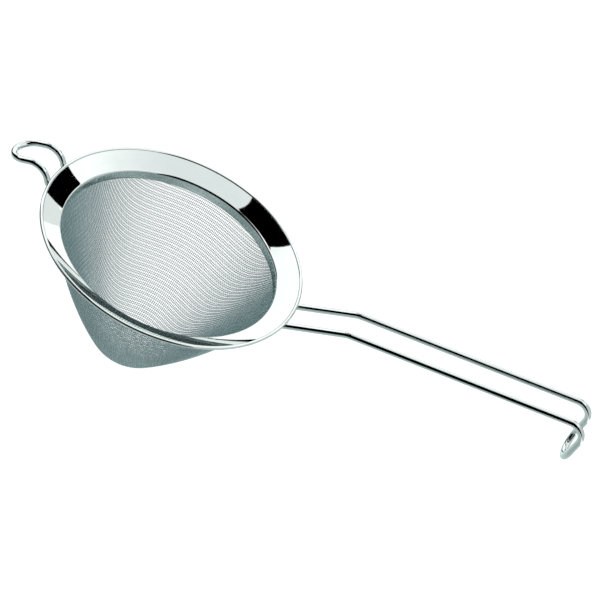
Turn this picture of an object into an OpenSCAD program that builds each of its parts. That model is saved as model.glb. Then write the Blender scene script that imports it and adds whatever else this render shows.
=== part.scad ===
// Tea strainer: a cone of woven wire cloth hung in a dished steel collar,
// with a wire handle that ends in a hook and a short wire loop that rests on the far side of the cup.
// Millimetres. +Z is up along the cone's axis, +X runs along the handle,
// and the origin is the centre of the collar's outer edge, at its highest level.

/* [Collar] */
// Radius of the collar's rolled outer edge
rim_r = 60; // [50:1:75]
// Thickness of the collar's sheet
sheet_t = 0.6; // [0.4:0.1:0.8]
// Diameter of the rolled outer edge
bead_d = 1.6; // [1.2:0.1:2]
// Slope of the collar down towards the mouth
dish_angle = 26; // [25:0.5:27]
// Inner radius of the neck under the collar
neck_r = 49.2; // [40:0.1:50]
// Height of the neck's straight wall
neck_h = 3.7; // [3:0.1:8]
// Radius of the bend between the collar and the neck, on its inside
neck_bend_r = 0.8; // [0.5:0.1:1.5]

/* [Wire cloth] */
// Thickness of the woven cloth
cloth_t = 0.5; // [0.3:0.1:0.7]
// Depth of the pouch's tip below the rim
pouch_depth = 72; // [60:1:90]
// Radius of the rounded tip
tip_r = 24; // [12:1:30]
// Radius of the slight outward curve of the pouch's side
side_curve_r = 260; // [180:10:500]

/* [Clamp ring] */
// Thickness of the ring that holds the cloth on the neck
ring_t = 0.7; // [0.4:0.1:1]
// Height of the ring
ring_h = 3; // [2:0.1:3.5]

/* [Wire parts] */
// Diameter of the wire
wire_d = 3; // [2:0.1:3.2]
// Distance between the centres of a pair of legs
leg_gap = 15; // [12:0.5:24]
// Slope of the legs where they lie under the collar
seat_angle = 28.6; // [24:0.1:32]
// Height of the handle legs' centre line where they pass the rim
seat_z = -1.9; // [-2.6:0.1:-1.8]

/* [Handle] */
// Distance from the axis to the handle's first bend
knee_x = 84; // [70:1:100]
// Radius of that bend
knee_r = 12; // [6:1:30]
// Slope of the handle past the bend
handle_angle = 12.3; // [5:0.1:20]
// Distance from the axis to the hook's hanging end
hook_x = 189.6; // [150:0.1:240]
// Radius of the hook's bend
hook_r = 6.8; // [5:0.1:12]
// Length of the straight stretch that hangs down from the hook's bend
hook_drop = 6.8; // [4:0.1:24]
// How far the hook's end leans in from the vertical
hook_lean = 2.5; // [0:0.5:10]

/* [Rest loop] */
// Extra slope of the legs where they climb out from under the rim
rest_kick = 33; // [25:1:36]
// Radius of the loop's hump
rest_hump_r = 8; // [6:0.2:12]
// Slope of the loop's end, below the level
rest_fall_angle = 23; // [10:1:40]
// Length of the straight stretch between the hump and the rounded end
rest_reach = 2.7; // [1:0.1:20]

/* [Hidden] */
$fn = 64;
steps_side = 30;
steps_tip = 16;
bead_r = bead_d / 2;
wire_r = wire_d / 2;
leg_y = leg_gap / 2;
eps = 0.01;
clear = 0.03;
// A bend is a hair thinner than the straight wire and reaches a hair into it, so the two always join
bend_thinner = 0.02;
bend_reach = 0.3;

// Neck and collar: centre of the bend between them, and where the sheet leaves it
neck_out_r = neck_r + sheet_t;
bead_c = [rim_r - bead_r, -bead_r];
bead_up = neck_bend_r + sheet_t / 6;
bend_x = neck_out_r + neck_bend_r;
bend_c = [bend_x, bead_c[1] - (bead_up + (bead_c[0] - bend_x) * sin(dish_angle)) / cos(dish_angle)];
bend_turn = 90 - dish_angle;
neck_low_z = bend_c[1] - neck_h;
sheet_len = (bead_c[0] - bend_c[0]) / cos(dish_angle);

// Pouch: the side is an arc of side_curve_r that runs into the round tip without a corner
cloth_in_r = neck_out_r + clear;
cloth_out_r = cloth_in_r + cloth_t;
tip_c = [0, tip_r - pouch_depth];
side_top = [cloth_out_r, neck_low_z];
side_c = circle_meet(side_top, side_curve_r, tip_c, side_curve_r - tip_r);
side_a0 = atan2(side_top[1] - side_c[1], side_top[0] - side_c[0]);
side_a1 = atan2(tip_c[1] - side_c[1], tip_c[0] - side_c[0]);

// Legs: where they start under the collar, and the lengths between their bends
leg_x0 = 52;
leg_z0 = seat_z - (rim_r - leg_x0) * tan(seat_angle);
knee_turn = seat_angle - handle_angle;
hook_turn = handle_angle + 90 + hook_lean;
seat_len = (knee_x - leg_x0) / cos(seat_angle) - knee_r * tan(knee_turn / 2);
grip_len = (hook_x - knee_x) / cos(handle_angle) - knee_r * tan(knee_turn / 2)
    - hook_r * tan(hook_turn / 2);
rest_kick_x = 58.6;
rest_kick_r = 4;
rest_rise = 0.8;
rest_seat_len = (rest_kick_x - leg_x0) / cos(seat_angle);

handle_steps = [[seat_len, knee_r, -knee_turn], [grip_len, hook_r, -hook_turn], [hook_drop, 0, 0]];
rest_steps = [
    [rest_seat_len, rest_kick_r, rest_kick],
    [rest_rise, rest_hump_r, -(seat_angle + rest_kick + rest_fall_angle)],
    [rest_reach, 0, 0]
];

// Welds: fillets on both sides of each leg, against the collar's underside
weld_r = 2.4;
weld_start = 1.2;
weld_len = 5;
weld_depth = 1.1;

// One of the two points at distance ra from a and rb from b: the one on the left of a towards b
function circle_meet(a, ra, b, rb) =
    let (d = norm(b - a), u = (b - a) / d, along = (ra * ra - rb * rb + d * d) / (2 * d),
        side = sqrt(ra * ra - along * along))
    a + along * u - side * [-u[1], u[0]];

// Points along an arc about c
function arc(c, r, a0, a1, n) =
    [for (i = [0:n]) let (a = a0 + (a1 - a0) * i / n) c + r * [cos(a), sin(a)]];

// Outline of the cloth from its folded edge on the neck down to the tip, offset inwards by t
function pouch_line(t) = concat(
    [[cloth_out_r - t, neck_low_z + ring_h]],
    arc(side_c, side_curve_r - t, side_a0, side_a1, steps_side),
    arc(tip_c, tip_r - t, side_a1 + eps, -90, steps_tip)
);

function reversed(list) = [for (i = [len(list) - 1:-1:0]) list[i]];

// A point of the sloping sheet: distance along it from the bend, and height above its bend centre
function on_slope(along, up) =
    bend_c + along * [cos(dish_angle), sin(dish_angle)] + up * [-sin(dish_angle), cos(dish_angle)];

// Where a line of the sloping sheet, at this height above the bend centre, runs into the rolled edge
function bead_angle(up) = dish_angle + 180 - asin((up - bead_up) / bead_r);

// Half section of the collar: neck wall, bend, sloping sheet and rolled edge, in one outline
module collar_section() {
    polygon(concat(
        [[neck_out_r, neck_low_z], [neck_r, neck_low_z]],
        arc(bend_c, neck_bend_r + sheet_t, 180, 180 - bend_turn, 12),
        arc(bead_c, bead_r, bead_angle(neck_bend_r + sheet_t), bead_angle(neck_bend_r) - 360, 24),
        arc(bend_c, neck_bend_r, 180 - bend_turn, 180, 12)
    ));
}

// The room that the legs take under the collar and through the rolled edge, on the +X side
module leg_room(steps, gap) {
    for (y = [-leg_y, leg_y])
        translate([leg_x0, y, leg_z0]) rotate([0, -seat_angle, 0]) translate([-gap, 0, 0])
            wire_run(steps, wire_r + gap);
}

module rim_collar() {
    color("gainsboro") difference() {
        rotate_extrude($fn = 180) collar_section();
        leg_room([handle_steps[0]], clear);
        rotate(180) leg_room([rest_steps[0], rest_steps[1]], clear);
    }
}

module mesh_pouch() {
    color("silver") rotate_extrude($fn = 180)
        polygon(concat(pouch_line(0), reversed(pouch_line(cloth_t))));
}

module clamp_ring() {
    color("lightgray") rotate_extrude($fn = 180)
        translate([cloth_out_r + clear, neck_low_z]) square([ring_t, ring_h]);
}

// Part of a ring of wire about the origin, from +X round by turn degrees
module ring_arc(bend_r, turn, r = wire_r) {
    reach = bend_reach / bend_r * 180 / PI;
    rotate(-reach) rotate_extrude(angle = turn + 2 * reach)
        translate([bend_r, 0]) circle(r = r - bend_thinner);
}

// Bend of a wire that arrives along +X and turns up or down by turn degrees
module wire_bend(bend_r, turn, r) {
    up = turn > 0;
    translate([0, 0, up ? bend_r : -bend_r]) rotate([90, 0, 0]) rotate(up ? -90 : 90 + turn)
        ring_arc(bend_r, abs(turn), r);
}

// A wire of radius r laid along +X: each step is a straight length, then a bend's radius and turn
module wire_run(steps, r = wire_r, i = 0) {
    if (i < len(steps)) {
        ahead = steps[i][0];
        bend_r = steps[i][1];
        turn = steps[i][2];
        rotate([0, 90, 0]) cylinder(h = ahead, r = r);
        translate([ahead, 0, 0]) {
            if (turn != 0) wire_bend(bend_r, turn, r);
            translate([bend_r * sin(abs(turn)), 0, sign(turn) * bend_r * (1 - cos(turn))])
                rotate([0, -turn, 0]) wire_run(steps, r, i + 1) children();
        }
    } else {
        children();
    }
}

// A hairpin: two legs side by side, joined by a round end of the same wire
module hairpin(steps) {
    for (side = [-1, 1])
        translate([leg_x0, side * leg_y, leg_z0]) rotate([0, -seat_angle, 0])
            wire_run(steps) if (side < 0) translate([0, leg_y, 0]) rotate(-90) ring_arc(leg_y, 180);
}

module handle_wire() {
    color("silver") hairpin(handle_steps);
}

module rest_loop() {
    color("silver") rotate(180) hairpin(rest_steps);
}

// Fillets that join one leg to the underside of the collar
module weld(side) {
    color("darkgray") difference() {
        intersection() {
            translate([leg_x0, side * leg_y, leg_z0]) rotate([0, 90 - seat_angle, 0])
                translate([0, 0, weld_start]) cylinder(h = weld_len, r = weld_r);
            rotate_extrude($fn = 180) polygon([
                on_slope(0, neck_bend_r - clear), on_slope(sheet_len, neck_bend_r - clear),
                on_slope(sheet_len, neck_bend_r - weld_depth), on_slope(0, neck_bend_r - weld_depth)
            ]);
        }
        leg_room([handle_steps[0]], clear / 2);
    }
}

module handle_weld_left() { weld(1); }
module handle_weld_right() { weld(-1); }
module rest_weld_left() { rotate(180) weld(-1); }
module rest_weld_right() { rotate(180) weld(1); }

rim_collar();
mesh_pouch();
clamp_ring();
handle_wire();
rest_loop();
handle_weld_left();
handle_weld_right();
rest_weld_left();
rest_weld_right();
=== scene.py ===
"""Tea strainer: a cone of woven wire cloth in a dished, polished steel collar.

A bent wire handle with a hook leaves the collar on one side, and a short wire loop rests on
the cup on the other. Sizes inside the classes are in millimetres and the meshes are in metres.
"""
import logging
import math
from dataclasses import dataclass, field
from enum import Enum

import bpy
import numpy as np
from mathutils import Matrix


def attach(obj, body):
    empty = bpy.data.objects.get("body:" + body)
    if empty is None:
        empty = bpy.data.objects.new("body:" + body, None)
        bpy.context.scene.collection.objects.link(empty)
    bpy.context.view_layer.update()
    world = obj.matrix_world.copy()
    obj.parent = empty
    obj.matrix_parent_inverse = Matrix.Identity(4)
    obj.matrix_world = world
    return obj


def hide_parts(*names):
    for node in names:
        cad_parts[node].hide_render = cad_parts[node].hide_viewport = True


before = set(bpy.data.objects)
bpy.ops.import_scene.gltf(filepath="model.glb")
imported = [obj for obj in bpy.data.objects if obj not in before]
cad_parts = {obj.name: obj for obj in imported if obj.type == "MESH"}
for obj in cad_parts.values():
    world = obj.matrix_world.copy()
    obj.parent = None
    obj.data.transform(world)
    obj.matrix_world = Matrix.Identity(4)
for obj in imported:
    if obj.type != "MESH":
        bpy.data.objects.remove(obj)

LOG = logging.getLogger("tea_strainer")
MM = 0.001
Triple = tuple[float, float, float]
Colour = Triple
Step = Triple
Pair = tuple[float, float]
Place = np.ndarray | Pair
Corners = tuple[Pair, Pair, Pair, Pair]
Socket = bpy.types.NodeSocket
Wire = tuple[np.ndarray, float]


class Slot(Enum):
    """Material slots that the finishes belong to."""

    SHEET = "mirror_sheet"
    CLOTH = "wire_cloth"
    RING = "ring_steel"
    WIRE = "bright_wire"
    WELD = "weld_metal"


class Shown(Enum):
    """Which rays meet a stage object."""

    FLOOR = "camera and soft light"
    CARD = "reflections"


class End(Enum):
    """The two sides of the collar that carry wire legs."""

    HANDLE = 1
    REST = -1


# Mesh helpers

def sin_d(angle: float) -> float:
    """Sine of an angle in degrees."""
    return math.sin(math.radians(angle))


def cos_d(angle: float) -> float:
    """Cosine of an angle in degrees."""
    return math.cos(math.radians(angle))


def unit(rows: np.ndarray) -> np.ndarray:
    """Rows scaled to length one."""
    return rows / np.linalg.norm(rows, axis=-1, keepdims=True)


def arc(centre: Place, radius: float, start: float, end: float, count: int) -> np.ndarray:
    """Points along an arc in the plane.

    Args:
        centre: Centre of the arc.
        radius: Its radius.
        start: Angle of the first point, in degrees.
        end: Angle of the last point, in degrees.
        count: Number of steps between them.

    Returns:
        The points, one row each.
    """
    angles = np.radians(np.linspace(start, end, count + 1))
    return np.asarray(centre) + radius * np.stack([np.cos(angles), np.sin(angles)], axis=1)


def line(start: Place, end: Place, count: int) -> np.ndarray:
    """Points along a straight line in the plane.

    Args:
        start: First end, left out of the result.
        end: Last end, left out of the result.
        count: Number of steps between them.

    Returns:
        The points between the two ends, one row each.
    """
    share = np.linspace(0.0, 1.0, count + 1)[1:-1, None]
    return np.asarray(start) * (1.0 - share) + np.asarray(end) * share


def circle_meet(a: np.ndarray, a_radius: float, b: np.ndarray, b_radius: float) -> np.ndarray:
    """One of the two points at given distances from two others.

    Args:
        a: First point.
        a_radius: Distance from it.
        b: Second point.
        b_radius: Distance from it.

    Returns:
        The meeting point on the left of the way from a to b.
    """
    gap = float(np.linalg.norm(b - a))
    way = (b - a) / gap
    along = (a_radius ** 2 - b_radius ** 2 + gap ** 2) / (2.0 * gap)
    side = math.sqrt(a_radius ** 2 - along ** 2)
    return a + along * way - side * np.array([-way[1], way[0]])


def grid_faces(rows: int, columns: int, first: int = 0, closed_rows: bool = False) -> np.ndarray:
    """Four-cornered faces of a grid of points that closes round its columns.

    Args:
        rows: Number of rows of points.
        columns: Number of points in a row; the last joins the first.
        first: Index of the first point.
        closed_rows: True if the last row joins the first.

    Returns:
        The corner indices of each face.
    """
    spans = rows if closed_rows else rows - 1
    row, column = np.meshgrid(np.arange(spans), np.arange(columns), indexing="ij")
    after_row, after_column = (row + 1) % rows, (column + 1) % columns
    corners = [row * columns + column, row * columns + after_column,
               after_row * columns + after_column, after_row * columns + column]
    return np.stack([c.ravel() for c in corners], axis=1) + first


def end_caps(rings: int, sides: int, first: int = 0) -> np.ndarray:
    """The two faces that close the ends of a tube.

    Args:
        rings: Number of rings of points along the tube.
        sides: Number of points in a ring.
        first: Index of the tube's first point.

    Returns:
        The corner indices of the two faces.
    """
    start = first + np.arange(sides)
    return np.stack([start[::-1], start + (rings - 1) * sides])


def tube_points(centres: np.ndarray, axes: tuple[np.ndarray, np.ndarray],
                radius: "np.ndarray | float", angles: np.ndarray) -> np.ndarray:
    """Rings of points round a centre line.

    Args:
        centres: Points of the centre line.
        axes: Two directions square to the line, and to each other, at each point.
        radius: Radius of the rings, or of each ring.
        angles: Directions of the points of a ring, in radians.

    Returns:
        The points, by ring and by place in the ring.
    """
    up, side = axes
    ring = (np.cos(angles)[None, :, None] * up[:, None]
            + np.sin(angles)[None, :, None] * side[:, None])
    return centres[:, None] + np.broadcast_to(radius, len(centres))[:, None, None] * ring


def turned(radii: "np.ndarray | float", heights: np.ndarray, bearings: np.ndarray) -> np.ndarray:
    """Points of a half section turned about the upright axis.

    Args:
        radii: Distances from the axis: one, a row, or a row for each bearing.
        heights: Heights of the section's points.
        bearings: Directions of the section's copies, in radians.

    Returns:
        The points, one row each, section after section.
    """
    spread = np.broadcast_to(radii, (len(bearings), len(heights)))
    turn = bearings[:, None]
    return np.stack([np.cos(turn) * spread, np.sin(turn) * spread,
                     np.broadcast_to(heights, spread.shape)], axis=2).reshape(-1, 3)


def make_object(name: str, points: np.ndarray, faces: list[np.ndarray]) -> bpy.types.Object:
    """Makes a smooth-shaded mesh object.

    Args:
        name: Name of the object.
        points: Corner positions in millimetres.
        faces: Blocks of faces, each block with one number of corners.

    Returns:
        The new object, linked to the scene.
    """
    loops = np.concatenate([block.ravel() for block in faces]).astype(np.int32)
    lengths = np.concatenate([np.full(len(block), block.shape[1]) for block in faces])
    mesh = bpy.data.meshes.new(name)
    mesh.vertices.add(len(points))
    mesh.vertices.foreach_set("co", (points * MM).astype(np.float32).ravel())
    mesh.loops.add(len(loops))
    mesh.loops.foreach_set("vertex_index", loops)
    mesh.polygons.add(len(lengths))
    starts = np.concatenate([[0], np.cumsum(lengths)[:-1]]).astype(np.int32)
    mesh.polygons.foreach_set("loop_start", starts)
    mesh.update(calc_edges=True)
    mesh.validate()
    mesh.polygons.foreach_set("use_smooth", np.ones(len(lengths), dtype=bool))
    piece = bpy.data.objects.new(name, mesh)
    bpy.context.scene.collection.objects.link(piece)
    return piece


def keep_creases(piece: bpy.types.Object, limit: float) -> None:
    """Marks the edges whose faces meet at a steep angle as sharp.

    Args:
        piece: The piece.
        limit: Least angle of a sharp edge, in degrees.
    """
    mesh = piece.data
    faces_of: list[list[int]] = [[] for _ in mesh.edges]
    for face in mesh.polygons:
        for corner in face.loop_indices:
            faces_of[mesh.loops[corner].edge_index].append(face.index)
    flat = np.empty(len(mesh.polygons) * 3)
    mesh.polygons.foreach_get("normal", flat)
    normals = flat.reshape(-1, 3)
    least = cos_d(limit)
    sharp = [len(f) == 2 and float(normals[f[0]] @ normals[f[1]]) < least for f in faces_of]
    mesh.edges.foreach_set("use_edge_sharp", sharp)


def store_vectors(piece: bpy.types.Object, name: str, rows: np.ndarray) -> None:
    """Keeps a vector for each corner point as a named attribute that a finish reads."""
    layer = piece.data.attributes.new(name, "FLOAT_VECTOR", "POINT")
    layer.data.foreach_set("vector", rows.astype(np.float32).ravel())


def store_values(piece: bpy.types.Object, name: str, values: np.ndarray) -> None:
    """Keeps a number for each corner point as a named attribute that a finish reads."""
    layer = piece.data.attributes.new(name, "FLOAT", "POINT")
    layer.data.foreach_set("value", values.astype(np.float32))


def settle(piece: bpy.types.Object, slot: Slot, finish: bpy.types.Material, *nodes: str) -> None:
    """Dresses a piece, makes it ride on the body and hides the CAD nodes that it stands for.

    Args:
        piece: The piece.
        slot: Material slot; not used.
        finish: Material to put on it.
        nodes: Names of the CAD nodes that it replaces.
    """
    piece.data.materials.clear()
    piece.data.materials.append(finish)
    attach(piece, "root")
    if nodes:
        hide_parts(*nodes)
    LOG.info("%s: %d faces, %s", piece.name, len(piece.data.polygons), finish.name)


# Finishes

class Recipe:
    """A material's node tree with short calls to add and join nodes."""

    layer_strength: float = 0.55

    def __init__(self, name: str) -> None:
        """Starts an empty tree that ends in one metal shader.

        Args:
            name: Name of the material.
        """
        self.material = bpy.data.materials.new(name)
        self.material.use_nodes = True
        self.tree = self.material.node_tree
        self.tree.nodes.clear()
        self.shader = self.tree.nodes.new("ShaderNodeBsdfPrincipled")
        self.shader.inputs["Metallic"].default_value = 1.0
        output = self.tree.nodes.new("ShaderNodeOutputMaterial")
        self.join(self.shader.outputs[0], output.inputs["Surface"])

    def join(self, source: Socket, target: Socket) -> None:
        """Links one socket to another."""
        self.tree.links.new(source, target)

    def place(self, scale: Triple = (1.0, 1.0, 1.0)) -> Socket:
        """Position on the object in metres, scaled axis by axis."""
        node = self.tree.nodes.new("ShaderNodeTexCoord")
        return self.scaled(node.outputs["Object"], scale)

    def attribute(self, name: str) -> bpy.types.Node:
        """Node that reads a named attribute of the mesh.

        Args:
            name: Name of the attribute.

        Returns:
            The node.
        """
        node = self.tree.nodes.new("ShaderNodeAttribute")
        node.attribute_name = name
        return node

    def scaled(self, source: Socket, scale: Triple) -> Socket:
        """A vector scaled axis by axis.

        Args:
            source: The vector.
            scale: Factor for each axis.

        Returns:
            The scaled vector.
        """
        node = self.tree.nodes.new("ShaderNodeMapping")
        node.inputs["Scale"].default_value = scale
        self.join(source, node.inputs["Vector"])
        return node.outputs["Vector"]

    def turned_place(self, pitch: float, spin: float) -> Socket:
        """Position by distance from the axis, height and bearing, for marks that run round it.

        Args:
            pitch: Spacing of the marks in metres.
            spin: Number of changes along one turn.

        Returns:
            A vector that changes fast across the marks and slowly along them.
        """
        split = self.tree.nodes.new("ShaderNodeSeparateXYZ")
        self.join(self.place(), split.inputs[0])
        level = self.tree.nodes.new("ShaderNodeVectorMath")
        level.operation = "LENGTH"
        self.join(self.place((1.0, 1.0, 0.0)), level.inputs[0])
        bearing = self.maths("ARCTAN2", split.outputs["Y"], split.outputs["X"])
        joined = self.tree.nodes.new("ShaderNodeCombineXYZ")
        self.join(self.maths("MULTIPLY", level.outputs["Value"], 1.0 / pitch), joined.inputs["X"])
        self.join(self.maths("MULTIPLY", split.outputs["Z"], 1.0 / pitch), joined.inputs["Y"])
        self.join(self.maths("MULTIPLY", bearing, spin / math.tau), joined.inputs["Z"])
        return joined.outputs[0]

    def maths(self, operation: str, a: Socket, b: "Socket | float") -> Socket:
        """Result of a Math node.

        Args:
            operation: What the node does.
            a: First value.
            b: Second value, from a socket or as a number.

        Returns:
            The result.
        """
        node = self.tree.nodes.new("ShaderNodeMath")
        node.operation = operation
        self.join(a, node.inputs[0])
        if isinstance(b, float):
            node.inputs[1].default_value = b
        else:
            self.join(b, node.inputs[1])
        return node.outputs[0]

    def mixed(self, a: Socket, b: Socket, share: float) -> Socket:
        """Sum of a share of one value and the rest of another."""
        rest = self.maths("MULTIPLY", b, 1.0 - share)
        return self.maths("ADD", self.maths("MULTIPLY", a, share), rest)

    def noise(self, vector: Socket, scale: float, detail: float = 3.0) -> Socket:
        """Value of a noise texture.

        Args:
            vector: Place that it is read at.
            scale: Number of changes for each unit of the vector.
            detail: Number of finer layers.

        Returns:
            The value.
        """
        node = self.tree.nodes.new("ShaderNodeTexNoise")
        node.inputs["Scale"].default_value = scale
        node.inputs["Detail"].default_value = detail
        node.inputs["Roughness"].default_value = self.layer_strength
        self.join(vector, node.inputs["Vector"])
        return node.outputs[0]

    def spread(self, value: Socket, low: float, high: float,
               start: float = 0.3, end: float = 0.7) -> Socket:
        """A value stretched from one range to another.

        Args:
            value: Socket to read.
            low: Result at the start of the range.
            high: Result at its end.
            start: Value that gives low.
            end: Value that gives high.

        Returns:
            The stretched value.
        """
        node = self.tree.nodes.new("ShaderNodeMapRange")
        limits = {"From Min": start, "From Max": end, "To Min": low, "To Max": high}
        for name, number in limits.items():
            node.inputs[name].default_value = number
        self.join(value, node.inputs["Value"])
        return node.outputs["Result"]

    def tones(self, value: Socket, *stops: tuple[float, Colour]) -> Socket:
        """Colour from a value.

        Args:
            value: Socket to read.
            stops: Two or more values and the colours they give.

        Returns:
            The colour.
        """
        node = self.tree.nodes.new("ShaderNodeValToRGB")
        ramp = node.color_ramp
        while len(ramp.elements) < len(stops):
            ramp.elements.new(0.5)
        for element, (place, colour) in zip(ramp.elements, stops, strict=True):
            element.position = place
            element.color = (*colour, 1.0)
        self.join(value, node.inputs["Fac"])
        return node.outputs["Color"]

    def relief(self, *layers: tuple[Socket, float]) -> None:
        """Fine relief, one layer on top of the other.

        Args:
            layers: Heights from 0 to 1, and the depth of each in metres.
        """
        before = None
        for height, depth in layers:
            node = self.tree.nodes.new("ShaderNodeBump")
            node.inputs["Distance"].default_value = depth
            self.join(height, node.inputs["Height"])
            if before is not None:
                self.join(before, node.inputs["Normal"])
            before = node.outputs["Normal"]
        self.join(before, self.shader.inputs["Normal"])

    def colour(self, source: Socket) -> None:
        """Feeds the metal's colour."""
        self.join(source, self.shader.inputs["Base Color"])

    def gloss(self, source: Socket) -> None:
        """Feeds the metal's roughness."""
        self.join(source, self.shader.inputs["Roughness"])


@dataclass(frozen=True)
class PolishedSheet:
    """Spun and polished steel sheet, with faint turning marks and handling smears."""

    pale: Colour = (0.745, 0.78, 0.77)
    deep: Colour = (0.70, 0.735, 0.725)
    smooth: float = 0.018
    smeared: float = 0.045
    mark_pitch: float = 0.00035

    def make(self) -> bpy.types.Material:
        """Builds the material.

        Returns:
            The material.
        """
        r = Recipe("polished_sheet")
        marks = r.noise(r.turned_place(self.mark_pitch, 6.0), 1.0, 2.0)
        smears = r.noise(r.place((1.0, 1.0, 2.0)), 90.0, 4.0)
        broad = r.noise(r.place(), 38.0, 1.0)
        both = r.mixed(marks, smears, 0.35)
        r.colour(r.tones(both, (0.3, self.deep), (0.7, self.pale)))
        r.gloss(r.spread(both, self.smooth, self.smeared))
        r.relief((broad, 0.00003), (marks, 0.0000006))
        return r.material


@dataclass(frozen=True)
class DrawnWire:
    """Bright wire with draw lines along its length and light wear."""

    pale: Colour = (0.76, 0.795, 0.785)
    deep: Colour = (0.66, 0.695, 0.685)
    smooth: float = 0.025
    worn: float = 0.07

    def make(self) -> bpy.types.Material:
        """Builds the material.

        Returns:
            The material.
        """
        r = Recipe("drawn_wire")
        along = r.attribute("wire_space").outputs["Vector"]
        lines = r.noise(r.scaled(along, (5.0, 5.0, 0.06)), 1.0, 3.0)
        wear = r.noise(r.scaled(along, (0.35, 0.35, 0.12)), 1.0, 4.0)
        both = r.mixed(lines, wear, 0.5)
        r.colour(r.tones(both, (0.3, self.deep), (0.7, self.pale)))
        r.gloss(r.spread(both, self.smooth, self.worn))
        r.relief((wear, 0.000012), (lines, 0.0000015))
        return r.material


@dataclass(frozen=True)
class ClothWire:
    """Fine woven wire, a little different from wire to wire."""

    pale: Colour = (0.52, 0.635, 0.655)
    deep: Colour = (0.33, 0.42, 0.44)
    smooth: float = 0.17
    dull: float = 0.30

    def make(self) -> bpy.types.Material:
        """Builds the material.

        Returns:
            The material.
        """
        r = Recipe("cloth_wire")
        own = r.attribute("wire_tone").outputs["Fac"]
        grain = r.noise(r.place(), 900.0, 2.0)
        stain = r.noise(r.place(), 60.0, 3.0)
        both = r.mixed(own, r.mixed(grain, stain, 0.3), 0.5)
        r.colour(r.tones(both, (0.2, self.deep), (0.75, self.pale)))
        r.gloss(r.spread(both, self.dull, self.smooth))
        r.relief((grain, 0.000008))
        return r.material


@dataclass(frozen=True)
class RolledRing:
    """Rolled steel band, brushed round its length."""

    pale: Colour = (0.68, 0.72, 0.71)
    deep: Colour = (0.55, 0.59, 0.58)
    smooth: float = 0.18
    rough: float = 0.34
    mark_pitch: float = 0.00018

    def make(self) -> bpy.types.Material:
        """Builds the material.

        Returns:
            The material.
        """
        r = Recipe("rolled_ring")
        brush = r.noise(r.turned_place(self.mark_pitch, 18.0), 1.0, 3.0)
        cloud = r.noise(r.place(), 140.0, 3.0)
        both = r.mixed(brush, cloud, 0.6)
        r.colour(r.tones(both, (0.3, self.deep), (0.7, self.pale)))
        r.gloss(r.spread(both, self.smooth, self.rough))
        r.relief((brush, 0.000006))
        return r.material


@dataclass(frozen=True)
class WeldMetal:
    """Dull weld metal with straw and blue heat tints."""

    grey: Colour = (0.46, 0.48, 0.48)
    straw: Colour = (0.60, 0.52, 0.38)
    blue: Colour = (0.34, 0.38, 0.47)
    smooth: float = 0.28
    rough: float = 0.5

    def make(self) -> bpy.types.Material:
        """Builds the material.

        Returns:
            The material.
        """
        r = Recipe("weld_metal")
        tint = r.noise(r.place(), 420.0, 3.0)
        grain = r.noise(r.place(), 3200.0, 4.0)
        r.colour(r.tones(tint, (0.34, self.blue), (0.47, self.straw), (0.62, self.grey)))
        r.gloss(r.spread(grain, self.smooth, self.rough))
        r.relief((grain, 0.00003))
        return r.material


# Wire parts

@dataclass
class LegLine:
    """The straight line of the legs under the collar, on either side."""

    gap: float = 15.0
    start_x: float = 52.0
    rim_z: float = -1.9
    rim_x: float = 60.0
    slope: float = 28.6
    wire: float = 3.0

    @property
    def start_z(self) -> float:
        """Height of the line where the legs start."""
        return self.rim_z - (self.rim_x - self.start_x) * math.tan(math.radians(self.slope))

    @property
    def half_gap(self) -> float:
        """Distance of a leg from the middle plane."""
        return self.gap / 2.0

    def origin(self, end: End, side: float) -> np.ndarray:
        """Start of one leg's centre line."""
        return np.array([end.value * self.start_x, side * self.half_gap, self.start_z])

    def way(self, end: End) -> np.ndarray:
        """Direction of the legs on one side, outwards."""
        return np.array([end.value * cos_d(self.slope), 0.0, sin_d(self.slope)])

    def up(self, end: End) -> np.ndarray:
        """Direction square to the legs on one side, upwards."""
        return np.array([-end.value * sin_d(self.slope), 0.0, cos_d(self.slope)])


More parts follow.
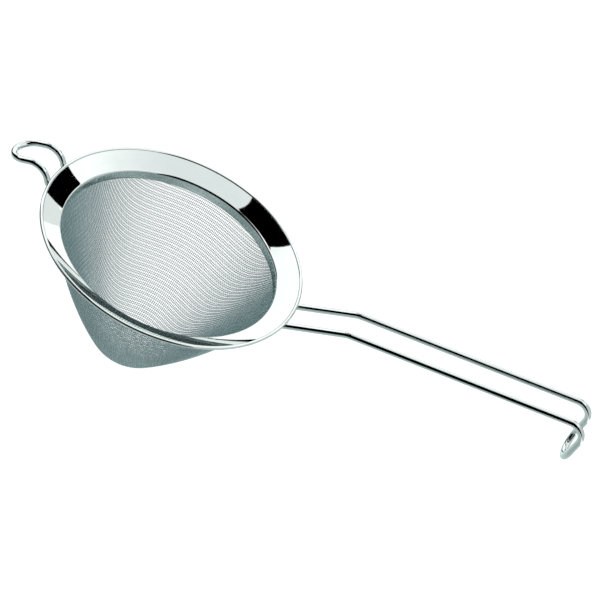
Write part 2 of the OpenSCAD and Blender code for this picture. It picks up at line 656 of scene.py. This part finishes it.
@dataclass
class BentWire:
    """A hairpin of round wire: two legs through the same bends, joined by a round end."""

    name: str
    end: End
    steps: list[Step]
    legs: LegLine = field(default_factory=LegLine)
    sides: int = 28
    bend_step: float = 2.5
    stretch: float = 4.0
    dome_steps: int = 6
    dome_share: float = 0.45
    dome_turn: float = 84.0

    def leg_path(self) -> tuple[np.ndarray, np.ndarray, float]:
        """Centre line of one leg in its own upright plane.

        Returns:
            The points, the direction at right angles to the wire at each, and the last heading.
        """
        here = np.array([self.legs.start_x, self.legs.start_z])
        heading = self.legs.slope
        points, ups = [here], [np.array([-sin_d(heading), cos_d(heading)])]
        for ahead, radius, turn in self.steps:
            way = np.array([cos_d(heading), sin_d(heading)])
            for share in np.linspace(0.0, 1.0, max(2, math.ceil(ahead / self.stretch) + 1))[1:]:
                points.append(here + way * ahead * share)
                ups.append(np.array([-way[1], way[0]]))
            here = here + way * ahead
            if turn:
                bend = math.copysign(1.0, turn)
                middle = here + bend * radius * np.array([-way[1], way[0]])
                count = math.ceil(abs(turn) / self.bend_step)
                for k in range(1, count + 1):
                    now = heading + turn * k / count
                    up = np.array([-sin_d(now), cos_d(now)])
                    points.append(middle - bend * radius * up)
                    ups.append(up)
                heading += turn
                here = points[-1]
        return np.array(points), np.array(ups), heading

    def centre_line(self) -> tuple[np.ndarray, np.ndarray]:
        """Whole centre line, down one leg and back along the other.

        Returns:
            The points, and at each a direction at right angles to the wire.
        """
        flat, ups, heading = self.leg_path()
        half = self.legs.half_gap
        near = np.stack([flat[:, 0], np.full(len(flat), -half), flat[:, 1]], axis=1)
        near_up = np.stack([ups[:, 0], np.zeros(len(flat)), ups[:, 1]], axis=1)
        far = near[::-1] * [1.0, -1.0, 1.0]
        way = np.array([cos_d(heading), 0.0, sin_d(heading)])
        across = np.array([0.0, 1.0, 0.0])
        turns = np.linspace(-90.0, 90.0, math.ceil(180.0 / self.bend_step) + 1)[1:-1]
        middle = near[-1] + half * across
        bow = np.array([middle + half * (cos_d(t) * way + sin_d(t) * across) for t in turns])
        bow_up = np.repeat(near_up[-1:], len(bow), axis=0)
        points = np.concatenate([near, bow, far])
        normals = np.concatenate([near_up, bow_up, near_up[::-1]])
        if self.end is End.REST:
            points, normals = points * [-1.0, -1.0, 1.0], normals * [-1.0, -1.0, 1.0]
        return points, normals

    def build(self) -> bpy.types.Object:
        """Sweeps the wire along its centre line and rounds off its two cut ends.

        Returns:
            The wire.
        """
        points, ups = self.centre_line()
        tangents = unit(np.gradient(points, axis=0))
        tangents[0], tangents[-1] = unit(points[1] - points[0]), unit(points[-1] - points[-2])
        sides = unit(np.cross(ups, tangents))
        ups = np.cross(tangents, sides)
        radius = self.legs.wire / 2.0
        inset = radius * self.dome_share
        lift = np.radians(np.linspace(0.0, self.dome_turn, self.dome_steps))[1:]
        dome, shrink = inset * (1.0 - np.sin(lift)), np.cos(lift)
        length = np.concatenate([[0.0], np.cumsum(np.linalg.norm(np.diff(points, axis=0), axis=1))])
        centres = points.copy()
        centres[0] += tangents[0] * inset
        centres[-1] -= tangents[-1] * inset
        start = points[0] + tangents[0] * dome[:, None]
        finish = points[-1] - tangents[-1] * dome[:, None]
        centres = np.concatenate([start[::-1], centres, finish])
        thick = radius * np.concatenate([shrink[::-1], np.ones(len(points)), shrink])
        pad = len(lift)
        ups, sides = (np.concatenate([np.repeat(v[:1], pad, 0), v, np.repeat(v[-1:], pad, 0)])
                      for v in (ups, sides))
        length = np.concatenate([np.full(pad, length[0]), length, np.full(pad, length[-1])])
        angle = np.arange(self.sides) * math.tau / self.sides
        surface = tube_points(centres, (ups, sides), thick, angle)
        size = (len(centres), self.sides)
        piece = make_object(self.name, surface.reshape(-1, 3), [grid_faces(*size), end_caps(*size)])
        space = [np.broadcast_to(part, size) for part in
                 (np.cos(angle) * radius, np.sin(angle) * radius, length[:, None])]
        store_vectors(piece, "wire_space", np.stack(space, axis=2).reshape(-1, 3))
        return piece

    def dress(self, piece: bpy.types.Object, finish: bpy.types.Material) -> None:
        """Gives the wire its finish and lets it stand for its CAD node."""
        settle(piece, Slot.WIRE, finish, self.name)


def handle_wire() -> BentWire:
    """The long handle with its hanging hook."""
    return BentWire("handle_wire", End.HANDLE,
                    [(34.73, 12.0, -16.3), (97.53, 6.8, -104.8), (6.8, 0.0, 0.0)])


def rest_loop() -> BentWire:
    """The short loop that lies on the far side of the cup."""
    return BentWire("rest_loop", End.REST,
                    [(7.517, 4.0, 33.0), (0.8, 8.0, -84.6), (2.7, 0.0, 0.0)])


# Collar

@dataclass
class RimCollar:
    """The dished collar: rolled outer edge, sloping sheet, bend and neck, in one sheet."""

    rim: float = 60.0
    sheet: float = 0.6
    bead: float = 1.6
    slope: float = 26.0
    neck: float = 49.2
    neck_height: float = 3.7
    bend: float = 0.8
    hollow: float = 86.0
    room: float = 0.03
    crease: float = 38.0
    legs: LegLine = field(default_factory=LegLine)
    coarse: float = 0.6
    fine: float = 0.12
    fine_reach: float = 3.0

    @property
    def bead_centre(self) -> tuple[float, float]:
        """Centre of the rolled edge's section."""
        return self.rim - self.bead / 2.0, -self.bead / 2.0

    @property
    def bead_lift(self) -> float:
        """Height of the rolled edge's centre above the bend's centre, square to the sheet."""
        return self.bend + self.sheet / 6.0

    @property
    def bend_centre(self) -> tuple[float, float]:
        """Centre of the bend between the sheet and the neck."""
        x = self.neck + self.sheet + self.bend
        run = self.bead_centre[0] - x
        drop = (self.bead_lift + run * sin_d(self.slope)) / cos_d(self.slope)
        return x, self.bead_centre[1] - drop

    @property
    def neck_low(self) -> float:
        """Height of the neck's lower edge."""
        return self.bend_centre[1] - self.neck_height

    def under(self, radius: float) -> float:
        """Height of the sheet's underside at a distance from the axis."""
        x, z = self.bend_centre
        return z + (radius - x) * math.tan(math.radians(self.slope)) + self.bend / cos_d(self.slope)

    def bead_angle(self, lift: float) -> float:
        """Angle on the rolled edge where a line of the sheet runs into it."""
        turn = math.asin((lift - self.bead_lift) / (self.bead / 2.0))
        return self.slope + 180.0 - math.degrees(turn)

    def section(self) -> np.ndarray:
        """Half section of the whole sheet as one closed outline.

        Returns:
            Points as distance from the axis and height.
        """
        centre, low = self.bend_centre, self.neck_low
        outer, inner = self.neck + self.sheet, self.neck
        lip = self.sheet / 2.0
        top = arc(centre, self.bend + self.sheet, 180.0, 90.0 + self.slope, 14)
        below = arc(centre, self.bend, 90.0 + self.slope, 180.0, 10)
        roll = arc(self.bead_centre, self.bead / 2.0, self.bead_angle(self.bend + self.sheet),
                   self.bead_angle(self.bend) - 360.0, 40)
        edge = arc(((inner + outer) / 2.0, low + lip), lip, 360.0, 180.0, 8)
        return np.concatenate([
            edge, line(edge[-1], top[0], 4), top, self.hollowed(top[-1], roll[0]), roll,
            self.hollowed(roll[-1], below[0]), below, line(below[-1], edge[0], 4)])

    def hollowed(self, start: np.ndarray, end: np.ndarray) -> np.ndarray:
        """Points of the slightly hollow sheet between two places, without the places themselves.

        Args:
            start: First place.
            end: Last place.

        Returns:
            The points, one row each.
        """
        flat = line(start, end, 16)
        length = float(np.linalg.norm(end - start))
        along = np.linalg.norm(flat - start, axis=1)
        sag = along * (length - along) / (2.0 * self.hollow)
        return flat + sag[:, None] * np.array([sin_d(self.slope), -cos_d(self.slope)])

    def bearings(self) -> np.ndarray:
        """Directions of the section's copies round the axis, closer together at the legs.

        Returns:
            The directions in radians.
        """
        spread = math.degrees(math.asin(self.legs.half_gap / self.rim))
        stops = [0.0]
        while stops[-1] < 360.0 - 1e-6:
            here = stops[-1]
            away = min(abs((here - leg + 180.0) % 360.0 - 180.0)
                       for leg in (spread, -spread, 180.0 + spread, 180.0 - spread))
            stops.append(here + (self.fine if away < self.fine_reach else self.coarse))
        return np.radians(np.array(stops[:-1]))

    def build(self) -> bpy.types.Object:
        """Turns the section about the axis and makes room for the four legs in the rolled edge.

        Returns:
            The collar.
        """
        outline, bearings = self.section(), self.bearings()
        points = turned(outline[:, 0], outline[:, 1], bearings)
        reach = self.legs.wire / 2.0 + self.room
        for end in End:
            for side in (-1.0, 1.0):
                origin, way = self.legs.origin(end, side), self.legs.way(end)
                offset = points - origin
                along = offset @ way
                off_axis = offset - along[:, None] * way
                far = np.linalg.norm(off_axis, axis=1)
                inside = (far < reach) & (along > 0.0)
                push = reach / np.maximum(far, 1e-6) - 1.0
                points[inside] += (off_axis * push[:, None])[inside]
        faces = grid_faces(len(bearings), len(outline), closed_rows=True)
        piece = make_object("rim_collar", points, [faces[:, ::-1]])
        keep_creases(piece, self.crease)
        return piece

    def dress(self, piece: bpy.types.Object, finish: bpy.types.Material) -> None:
        """Gives the collar its finish and lets it stand for its CAD node."""
        settle(piece, Slot.SHEET, finish, "rim_collar")


@dataclass
class WeldBead:
    """Weld fillets on both sides of one leg, against the underside of the collar."""

    name: str
    end: End
    side: float
    collar: RimCollar
    start: float = 1.0
    length: float = 5.4
    reach: float = 2.4
    least_reach: float = 1.25
    foot: float = 20.0
    foot_climb: float = 44.0
    sag: float = 0.16
    sag_wave: float = 0.08
    ripple: float = 0.62
    ripple_height: float = 0.09
    bite: float = 0.04
    middle_bite: float = 0.06
    sink: float = 0.98
    stations: int = 48
    steps: int = 9

    def sheet_height(self, along: float, across: float) -> float:
        """Height of the sheet's underside above the leg's centre line, square to the leg.

        Args:
            along: Distance from the start of the leg.
            across: Distance sideways from its centre line.

        Returns:
            The height.
        """
        legs = self.collar.legs
        slope = legs.slope
        up = legs.wire / 2.0
        for _ in range(6):
            x = legs.start_x + along * cos_d(slope) - up * sin_d(slope)
            z = legs.start_z + along * sin_d(slope) + up * cos_d(slope)
            radius = math.hypot(x, self.side * legs.half_gap + across)
            up += (self.collar.under(radius) - z) * cos_d(slope)
        return up

    def section(self, along: float, share: float) -> np.ndarray:
        """Closed outline of both fillets at one place along the leg.

        Args:
            along: Distance from the start of the leg.
            share: Place along the weld from 0 to 1.

        Returns:
            Points as distance across the leg and height above its centre line.
        """
        radius = self.collar.legs.wire / 2.0
        swell = math.sqrt(abs(math.sin(math.pi * share)))
        phase = math.tau * along / self.ripple
        wave = self.ripple_height * math.sin(phase)
        sag = (self.sag - self.sag_wave * math.cos(phase)) * swell
        reach = self.least_reach + (self.reach - self.least_reach + wave) * swell
        foot = self.foot + self.foot_climb * swell
        rows = []
        for side in (-1.0, 1.0):
            top = np.array([side * reach, self.sheet_height(along, side * reach) + self.bite])
            base = np.array([side * radius * sin_d(foot), radius * cos_d(foot)]) * self.sink
            pull = np.array([-side, 0.7]) * sag
            mids = [top * (1.0 - s) + base * s + pull * math.sin(math.pi * s)
                    for s in np.linspace(0.0, 1.0, self.steps + 1)]
            rows.append(mids if side < 0.0 else mids[::-1])
        cap = [np.array([x, self.sheet_height(along, x) + self.middle_bite])
               for x in np.linspace(reach, -reach, 7)[1:-1]]
        return np.array(rows[0] + rows[1] + cap)

    def build(self) -> bpy.types.Object:
        """Lofts the fillets along the leg.

        Returns:
            The weld.
        """
        legs = self.collar.legs
        way, up, origin = legs.way(self.end), legs.up(self.end), legs.origin(self.end, self.side)
        across = np.array([0.0, 1.0, 0.0])
        rings = []
        for share in np.linspace(0.0, 1.0, self.stations):
            along = self.start + self.length * share
            flat = self.section(along, share)
            rings.append(origin + way * along + flat[:, :1] * across + flat[:, 1:] * up)
        size = (self.stations, len(rings[0]))
        return make_object(self.name, np.concatenate(rings), [grid_faces(*size), end_caps(*size)])

    def dress(self, piece: bpy.types.Object, finish: bpy.types.Material) -> None:
        """Gives the weld its finish and lets it stand for its CAD node."""
        settle(piece, Slot.WELD, finish, self.name)


@dataclass
class ClampRing:
    """The rolled band that holds the cloth's edge on the neck."""

    inner: float = 50.36
    thick: float = 0.7
    low: float = -9.69
    height: float = 3.0
    edge: float = 0.24
    groove: float = 0.1
    groove_width: float = 0.32
    seam_at: float = 128.0
    seam: float = 0.35
    seam_reach: float = 0.6
    crease: float = 50.0
    turns: int = 720

    def section(self) -> np.ndarray:
        """Half section with rounded edges and a shallow rolled groove.

        Returns:
            Points as distance from the axis and height.
        """
        e = self.edge
        left, right = self.inner + e, self.inner + self.thick - e
        low, high = self.low + e, self.low + self.height - e
        heights = np.linspace(low, high, 15)[1:-1]
        dent = np.exp(-((heights - (low + high) / 2.0) / self.groove_width) ** 2)
        face = np.stack([right + e - self.groove * dent, heights], axis=1)
        return np.concatenate([
            arc((right, low), e, -90.0, 0.0, 5), face, arc((right, high), e, 0.0, 90.0, 5),
            arc((left, high), e, 90.0, 180.0, 5), arc((left, low), e, 180.0, 270.0, 5)])

    def build(self) -> bpy.types.Object:
        """Turns the section about the axis, with a narrow seam where the band's ends meet.

        Returns:
            The ring.
        """
        outline = self.section()
        bearings = np.linspace(0.0, 360.0, self.turns, endpoint=False)
        away = np.abs((bearings - self.seam_at + 180.0) % 360.0 - 180.0)
        dip = self.seam * np.clip(1.0 - away / self.seam_reach, 0.0, 1.0)
        outer = outline[:, 0] > self.inner + self.thick * 0.6
        radii = outline[:, 0] - dip[:, None] * outer
        points = turned(radii, outline[:, 1], np.radians(bearings))
        faces = grid_faces(self.turns, len(outline), closed_rows=True)
        piece = make_object("clamp_ring", points, [faces[:, ::-1]])
        keep_creases(piece, self.crease)
        return piece

    def dress(self, piece: bpy.types.Object, finish: bpy.types.Material) -> None:
        """Gives the ring its finish and lets it stand for its CAD node."""
        settle(piece, Slot.RING, finish, "clamp_ring")


# Wire cloth

class Family(Enum):
    """The two sets of wires of the weave."""

    WARP = "warp"
    WEFT = "weft"


@dataclass
class WireCloth:
    """Square-woven wire cloth pressed into a round-tipped cone, wire by wire.

    A tone is the lowest one, what every other wire adds, and the most that chance adds.
    """

    neck: float = 50.33
    neck_low: float = -9.7
    edge_top: float = -6.9
    depth: float = 72.0
    tip: float = 24.0
    side_curve: float = 260.0
    inset: float = 0.25
    pitch: float = 0.85
    warp_wire: float = 0.23
    weft_wire: float = 0.28
    weft_crimp: float = 0.085
    weft_pairing: float = 0.09
    warp_tone: Triple = (0.35, 0.0, 0.3)
    weft_tone: Triple = (0.1, 0.6, 0.2)
    squareness: float = 3.6
    spread: float = 10.5
    ease: float = 16.0
    tip_steps: int = 300
    side_steps: int = 900
    neck_steps: int = 40
    sides: int = 5
    rings: int = 2
    pieces: int = 4
    seed: int = 7

    def profile(self) -> tuple[np.ndarray, np.ndarray, np.ndarray]:
        """Middle line of the cloth from the tip to its edge on the neck.

        Returns:
            Points as radius and height, outward normals, and for each point the radius of the
            flat disc that had the same area before the cloth was pressed.
        """
        tip_centre = np.array([0.0, self.tip - self.depth])
        top = np.array([self.neck, self.neck_low])
        side_centre = circle_meet(top, self.side_curve, tip_centre, self.side_curve - self.tip)
        leave = math.degrees(math.atan2(*(tip_centre - side_centre)[::-1]))
        arrive = math.degrees(math.atan2(*(top - side_centre)[::-1]))
        t = self.inset
        on_neck = np.linspace(self.neck_low + 0.05, self.edge_top, self.neck_steps)
        points = np.concatenate([
            arc(tip_centre, self.tip - t, -90.0, leave, self.tip_steps),
            arc(side_centre, self.side_curve - t, leave, arrive, self.side_steps)[1:],
            np.stack([np.full(len(on_neck), self.neck - t), on_neck], axis=1)])
        lengths = np.linalg.norm(np.diff(points, axis=0), axis=1)
        strips = math.pi * (points[1:, 0] + points[:-1, 0]) * lengths
        area = np.concatenate([[0.0], np.cumsum(strips)])
        way = unit(np.gradient(points, axis=0))
        return points, np.stack([way[:, 1], -way[:, 0]], axis=1), np.sqrt(area / math.pi)

    def pressed(self, x: np.ndarray, y: np.ndarray) -> tuple[np.ndarray, np.ndarray]:
        """Where points of the flat cloth lie once it is pressed and four soft folds have formed.

        Args:
            x: Distances across the flat cloth.
            y: Distances along it.

        Returns:
            For each point the radius on the flat disc that the profile is numbered by, and the
            bearing.
        """
        away, bearing = np.hypot(x, y), np.arctan2(y, x)
        share = 1.0 - np.exp(-(away / self.ease) ** 2)
        power = 2.0 + (self.squareness - 2.0) * share
        reach = (np.abs(x) ** power + np.abs(y) ** power) ** (1.0 / power)
        return reach, bearing - math.radians(self.spread) * share * np.sin(2.0 * bearing)

    def wires(self, family: Family) -> list[Wire]:
        """Corner points and tones of every wire of one family.

        Args:
            family: Which set of wires.

        Returns:
            For each wire its rings of corner points and one tone.
        """
        points, normals, disc = self.profile()
        random = np.random.default_rng(self.seed + (family is Family.WEFT))
        edge, p = disc[-1], self.pitch
        count = math.floor(edge / p - 0.5)
        angle = (np.arange(self.sides) + 0.5) * math.tau / self.sides
        warp = family is Family.WARP
        wire = self.warp_wire if warp else self.weft_wire
        low, other, luck = self.warp_tone if warp else self.weft_tone
        crimp = (self.warp_wire + self.weft_wire) / 2.0 - self.weft_crimp if warp else self.weft_crimp
        tries = np.linspace(0.0, edge, 400)
        made = []
        for j in range(-count - 1, count + 1):
            fixed = (j + 0.5) * p + (0.0 if warp else (-1.0) ** j * self.weft_pairing)
            reaches, _ = self.pressed(np.full(len(tries), fixed), tries)
            end = float(np.interp(edge, reaches, tries))
            if end < 2.0 * p or reaches[0] > edge:
                continue
            steps = math.floor(end * self.rings / p - 0.5)
            run = (np.arange(-steps - 1, steps + 1) + 0.5) * p / self.rings
            run = np.concatenate([[-end], run, [end]])
            weave = (-1.0) ** j * np.sin(math.pi * run / p) * (crimp if warp else -crimp)
            held = np.full(len(run), fixed)
            x, y = (held, run) if warp else (run, held)
            flat, bearing = self.pressed(x, y)
            flat = np.minimum(flat, edge)
            r, z = np.interp(flat, disc, points[:, 0]), np.interp(flat, disc, points[:, 1])
            nr, nz = np.interp(flat, disc, normals[:, 0]), np.interp(flat, disc, normals[:, 1])
            normal = unit(np.stack([nr * np.cos(bearing), nr * np.sin(bearing), nz], axis=1))
            centre = np.stack([r * np.cos(bearing), r * np.sin(bearing), z], axis=1)
            centre += normal * weave[:, None]
            tangent = unit(np.gradient(centre, axis=0))
            side = unit(np.cross(tangent, normal))
            chance = random.random()
            tone = low + other * (j % 2) + luck * chance
            axes = (np.cross(side, tangent), side)
            made.append((tube_points(centre, axes, wire / 2.0, angle), tone))
        return made

    def build(self) -> list[bpy.types.Object]:
        """Builds both families, each split into a few pieces from side to side.

        Returns:
            The pieces.
        """
        made = []
        for family in Family:
            wires = self.wires(family)
            totals = np.cumsum([len(rings) for rings, _ in wires])
            which = np.minimum((totals - 1) * self.pieces // totals[-1], self.pieces - 1)
            for part in range(self.pieces):
                group = [wire for wire, place in zip(wires, which, strict=True) if place == part]
                made.append(self.gather(f"cloth_{family.value}_{part + 1}", group))
        return made

    def gather(self, name: str, wires: list[Wire]) -> bpy.types.Object:
        """Joins wires into one piece.

        Args:
            name: Name of the piece.
            wires: Rings of corner points and a tone for each wire.

        Returns:
            The piece.
        """
        points, faces, caps, tones, first = [], [], [], [], 0
        for rings, tone in wires:
            points.append(rings.reshape(-1, 3))
            faces.append(grid_faces(len(rings), self.sides, first)[:, ::-1])
            caps.append(end_caps(len(rings), self.sides, first))
            tones.append(np.full(len(rings) * self.sides, tone))
            first += len(rings) * self.sides
        piece = make_object(name, np.concatenate(points), [np.concatenate(faces), np.concatenate(caps)])
        store_values(piece, "wire_tone", np.concatenate(tones))
        return piece

    def dress(self, pieces: list[bpy.types.Object], finish: bpy.types.Material) -> None:
        """Gives the wires their finish and lets them stand for the CAD node."""
        for piece in pieces:
            settle(piece, Slot.CLOTH, finish, "mesh_pouch")


# Studio

@dataclass(frozen=True)
class Card:
    """A curved four-sided card on a ball round the object.

    Each corner is a bearing from +X towards +Y and a height above the horizon, in degrees.
    """

    name: str
    corners: Corners
    glow: Colour = (0.0, 0.0, 0.0)
    distance: float = 1.6
    steps: int = 40

    def build(self) -> bpy.types.Object:
        """Makes the card as part of a ball about the object.

        Returns:
            The card.
        """
        share = np.linspace(0.0, 1.0, self.steps + 1)
        u, v = np.meshgrid(share, share, indexing="ij")
        parts = np.stack([(1.0 - u) * (1.0 - v), u * (1.0 - v), u * v, (1.0 - u) * v], axis=2)
        spots = parts @ np.radians(self.corners)
        turn, rise = spots[..., 0], spots[..., 1]
        points = self.distance / MM * np.stack(
            [np.cos(rise) * np.cos(turn), np.cos(rise) * np.sin(turn), np.sin(rise)], axis=2)
        row, column = np.meshgrid(np.arange(self.steps), np.arange(self.steps), indexing="ij")
        first = (row * (self.steps + 1) + column).ravel()
        faces = np.stack([first, first + 1, first + self.steps + 2, first + self.steps + 1], axis=1)
        card = make_object(self.name, points.reshape(-1, 3), [faces])
        card.data.materials.append(glowing(self.name, self.glow))
        return card


def band(bearings: Pair, heights: Pair) -> Corners:
    """Corners of a card that fills a range of bearings and of heights."""
    (a, b), (low, high) = bearings, heights
    return (a, low), (b, low), (b, high), (a, high)


def glowing(name: str, colour: Colour) -> bpy.types.Material:
    """An evenly glowing material for cards, black where the colour is nothing.

    Args:
        name: Name of the material.
        colour: Colour of the glow.

    Returns:
        The material.
    """
    material = bpy.data.materials.new(name)
    material.use_nodes = True
    tree = material.node_tree
    tree.nodes.clear()
    glow = tree.nodes.new("ShaderNodeEmission")
    glow.inputs["Color"].default_value = (*colour, 1.0)
    output = tree.nodes.new("ShaderNodeOutputMaterial")
    tree.links.new(glow.outputs[0], output.inputs["Surface"])
    return material


@dataclass
class Studio:
    """Pale floor, even light, dark cards for the metal to mirror, and the camera."""

    overhead: Colour = (0.98, 1.03, 1.02)
    around: Colour = (1.36, 1.38, 1.37)
    overhead_levels: Pair = (0.72, 0.97)
    floor_level: float = -72.2
    floor_size: float = 6.0
    floor_pale: float = 0.32
    floor_rough: float = 0.9
    floor_glow: float = 0.8
    floor_seen: Colour = (0.49, 0.585, 0.575)
    floor_shade: tuple[Pair, Pair] = ((-0.5, 0.75), (0.7, 2.0))
    table: float = 320.0
    cards: tuple[Card, ...] = (
        Card("card_front", band((-165.0, -38.0), (-4.0, 70.0))),
        Card("card_side", band((-205.0, -165.0), (-4.0, 26.0))),
        Card("card_left", ((54.0, 34.0), (68.0, 42.0), (77.0, 28.0), (69.0, 18.0))),
        Card("card_right", ((135.0, 57.0), (157.0, 49.0), (187.0, 73.0), (140.0, 73.0))),
        Card("card_handle", band((-38.0, 46.0), (-20.0, 42.0)), (0.66, 0.72, 0.71)),
        Card("card_soft", band((40.0, 80.0), (3.0, 24.0)), (0.98, 1.02, 1.01), distance=1.8),
        Card("card_horizon", band((0.0, 360.0), (-20.0, 3.0)), distance=1.9),
    )
    aim: Triple = (58.96, 9.65, 0.06)
    distance: float = 654.86
    azimuth: float = 0.947
    elevation: float = 39.557
    roll: float = 30.298
    lens: float = 90.0

    def show_to(self, thing: bpy.types.Object, rays: Shown) -> None:
        """Lets only some rays meet a stage object.

        Args:
            thing: The object.
            rays: Which rays meet it.
        """
        thing.visible_camera = thing.visible_diffuse = rays is Shown.FLOOR
        thing.visible_transmission = thing.visible_shadow = rays is Shown.FLOOR
        thing.visible_glossy = rays is Shown.CARD

    def floor(self) -> bpy.types.Object:
        """A wide pale floor just under the tip.

        Returns:
            The floor.
        """
        half, low = self.floor_size / 2.0 / MM, self.floor_level
        points = np.array([[x, y, low] for x, y in
                           ((-half, -half), (half, -half), (half, half), (-half, half))])
        floor = make_object("floor", points, [np.array([[0, 1, 2, 3]])])
        material = bpy.data.materials.new("pale_floor")
        material.use_nodes = True
        shader = material.node_tree.nodes["Principled BSDF"]
        shader.inputs["Base Color"].default_value = (self.floor_pale,) * 3 + (1.0,)
        shader.inputs["Roughness"].default_value = self.floor_rough
        shader.inputs["Emission Color"].default_value = (1.0, 1.0, 1.0, 1.0)
        shader.inputs["Emission Strength"].default_value = self.floor_glow
        floor.data.materials.append(material)
        return floor

    def mirrored_floor(self) -> bpy.types.Object:
        """What the metal mirrors of the floor: a round part of it in its own soft shade.

        Returns:
            The card just above the floor.
        """
        turn = np.arange(96) * math.tau / 96
        points = turned(self.table, np.array([self.floor_level + 0.05]), turn)
        card = make_object("floor_card", points, [np.arange(96)[None, :]])
        material = glowing("floor_card", self.floor_seen)
        tree = material.node_tree
        place = tree.nodes.new("ShaderNodeTexCoord")
        split = tree.nodes.new("ShaderNodeSeparateXYZ")
        shade = tree.nodes.new("ShaderNodeMapRange")
        for limit, (share, glow) in zip(("Min", "Max"), self.floor_shade, strict=True):
            shade.inputs[f"From {limit}"].default_value = share * self.table * MM
            shade.inputs[f"To {limit}"].default_value = glow
        tree.links.new(place.outputs["Object"], split.inputs[0])
        tree.links.new(split.outputs["Y"], shade.inputs["Value"])
        tree.links.new(shade.outputs["Result"], tree.nodes["Emission"].inputs["Strength"])
        card.data.materials.append(material)
        return card

    def sky(self) -> None:
        """Even light from all round, a little softer overhead."""
        world = bpy.data.worlds.new("soft_light")
        world.use_nodes = True
        tree = world.node_tree
        back = tree.nodes["Background"]
        place = tree.nodes.new("ShaderNodeTexCoord")
        split = tree.nodes.new("ShaderNodeSeparateXYZ")
        ramp = tree.nodes.new("ShaderNodeValToRGB")
        tree.links.new(place.outputs["Generated"], split.inputs[0])
        tree.links.new(split.outputs["Z"], ramp.inputs["Fac"])
        tree.links.new(ramp.outputs["Color"], back.inputs["Color"])
        for element, level, colour in zip(ramp.color_ramp.elements, self.overhead_levels,
                                          (self.around, self.overhead), strict=True):
            element.position = level
            element.color = (*colour, 1.0)
        world.cycles.sampling_method = "NONE"
        bpy.context.scene.world = world

    def camera(self) -> None:
        """The camera, aimed, raised and rolled as the view needs."""
        a, e, t = (math.radians(v) for v in (self.azimuth, self.elevation, self.roll))
        ahead = np.array([-math.sin(a) * math.cos(e), math.cos(a) * math.cos(e), -math.sin(e)])
        level = unit(np.array([ahead[1], -ahead[0], 0.0]))
        above = np.cross(level, ahead)
        right = math.cos(t) * level + math.sin(t) * above
        up = -math.sin(t) * level + math.cos(t) * above
        place = (np.array(self.aim) - self.distance * ahead) * MM
        data = bpy.data.cameras.new("camera")
        data.lens, data.sensor_width = self.lens, 36.0
        data.clip_start, data.clip_end = 0.01, 50.0
        camera = bpy.data.objects.new("camera", data)
        bpy.context.scene.collection.objects.link(camera)
        turn = np.eye(4)
        turn[:3] = np.stack([right, up, -ahead, place], axis=1)
        camera.matrix_world = Matrix(turn.tolist())
        bpy.context.scene.camera = camera

    def build(self) -> None:
        """Sets the whole stage."""
        self.camera()
        self.sky()
        self.show_to(self.floor(), Shown.FLOOR)
        self.show_to(self.mirrored_floor(), Shown.CARD)
        for card in self.cards:
            self.show_to(card.build(), Shown.CARD)
        bpy.context.scene.view_settings.view_transform = "Standard"
        LOG.info("stage: floor and %d cards", len(self.cards))


def corners(box: tuple[tuple[float, ...], ...]) -> list[list[float]]:
    """A box's two corners as plain lists."""
    return [[float(v) for v in corner] for corner in box]


def main() -> None:
    """Builds the strainer piece by piece, then its stage."""
    logging.basicConfig(level=logging.INFO, format="%(name)s %(message)s")
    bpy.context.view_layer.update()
    Studio().build()
    collar = RimCollar()
    collar.dress(collar.build(), PolishedSheet().make())
    wire_finish = DrawnWire().make()
    for wire in (handle_wire(), rest_loop()):
        wire.dress(wire.build(), wire_finish)
    cloth = WireCloth()
    cloth.dress(cloth.build(), ClothWire().make())
    ring = ClampRing()
    ring.dress(ring.build(), RolledRing().make())
    weld_finish = WeldMetal().make()
    for end, left in ((End.HANDLE, 1.0), (End.REST, -1.0)):
        label = end.name.lower()
        for name, side in ((f"{label}_weld_left", left), (f"{label}_weld_right", -left)):
            weld = WeldBead(name, end, side, collar)
            weld.dress(weld.build(), weld_finish)


if __name__ == "__main__":
    main()
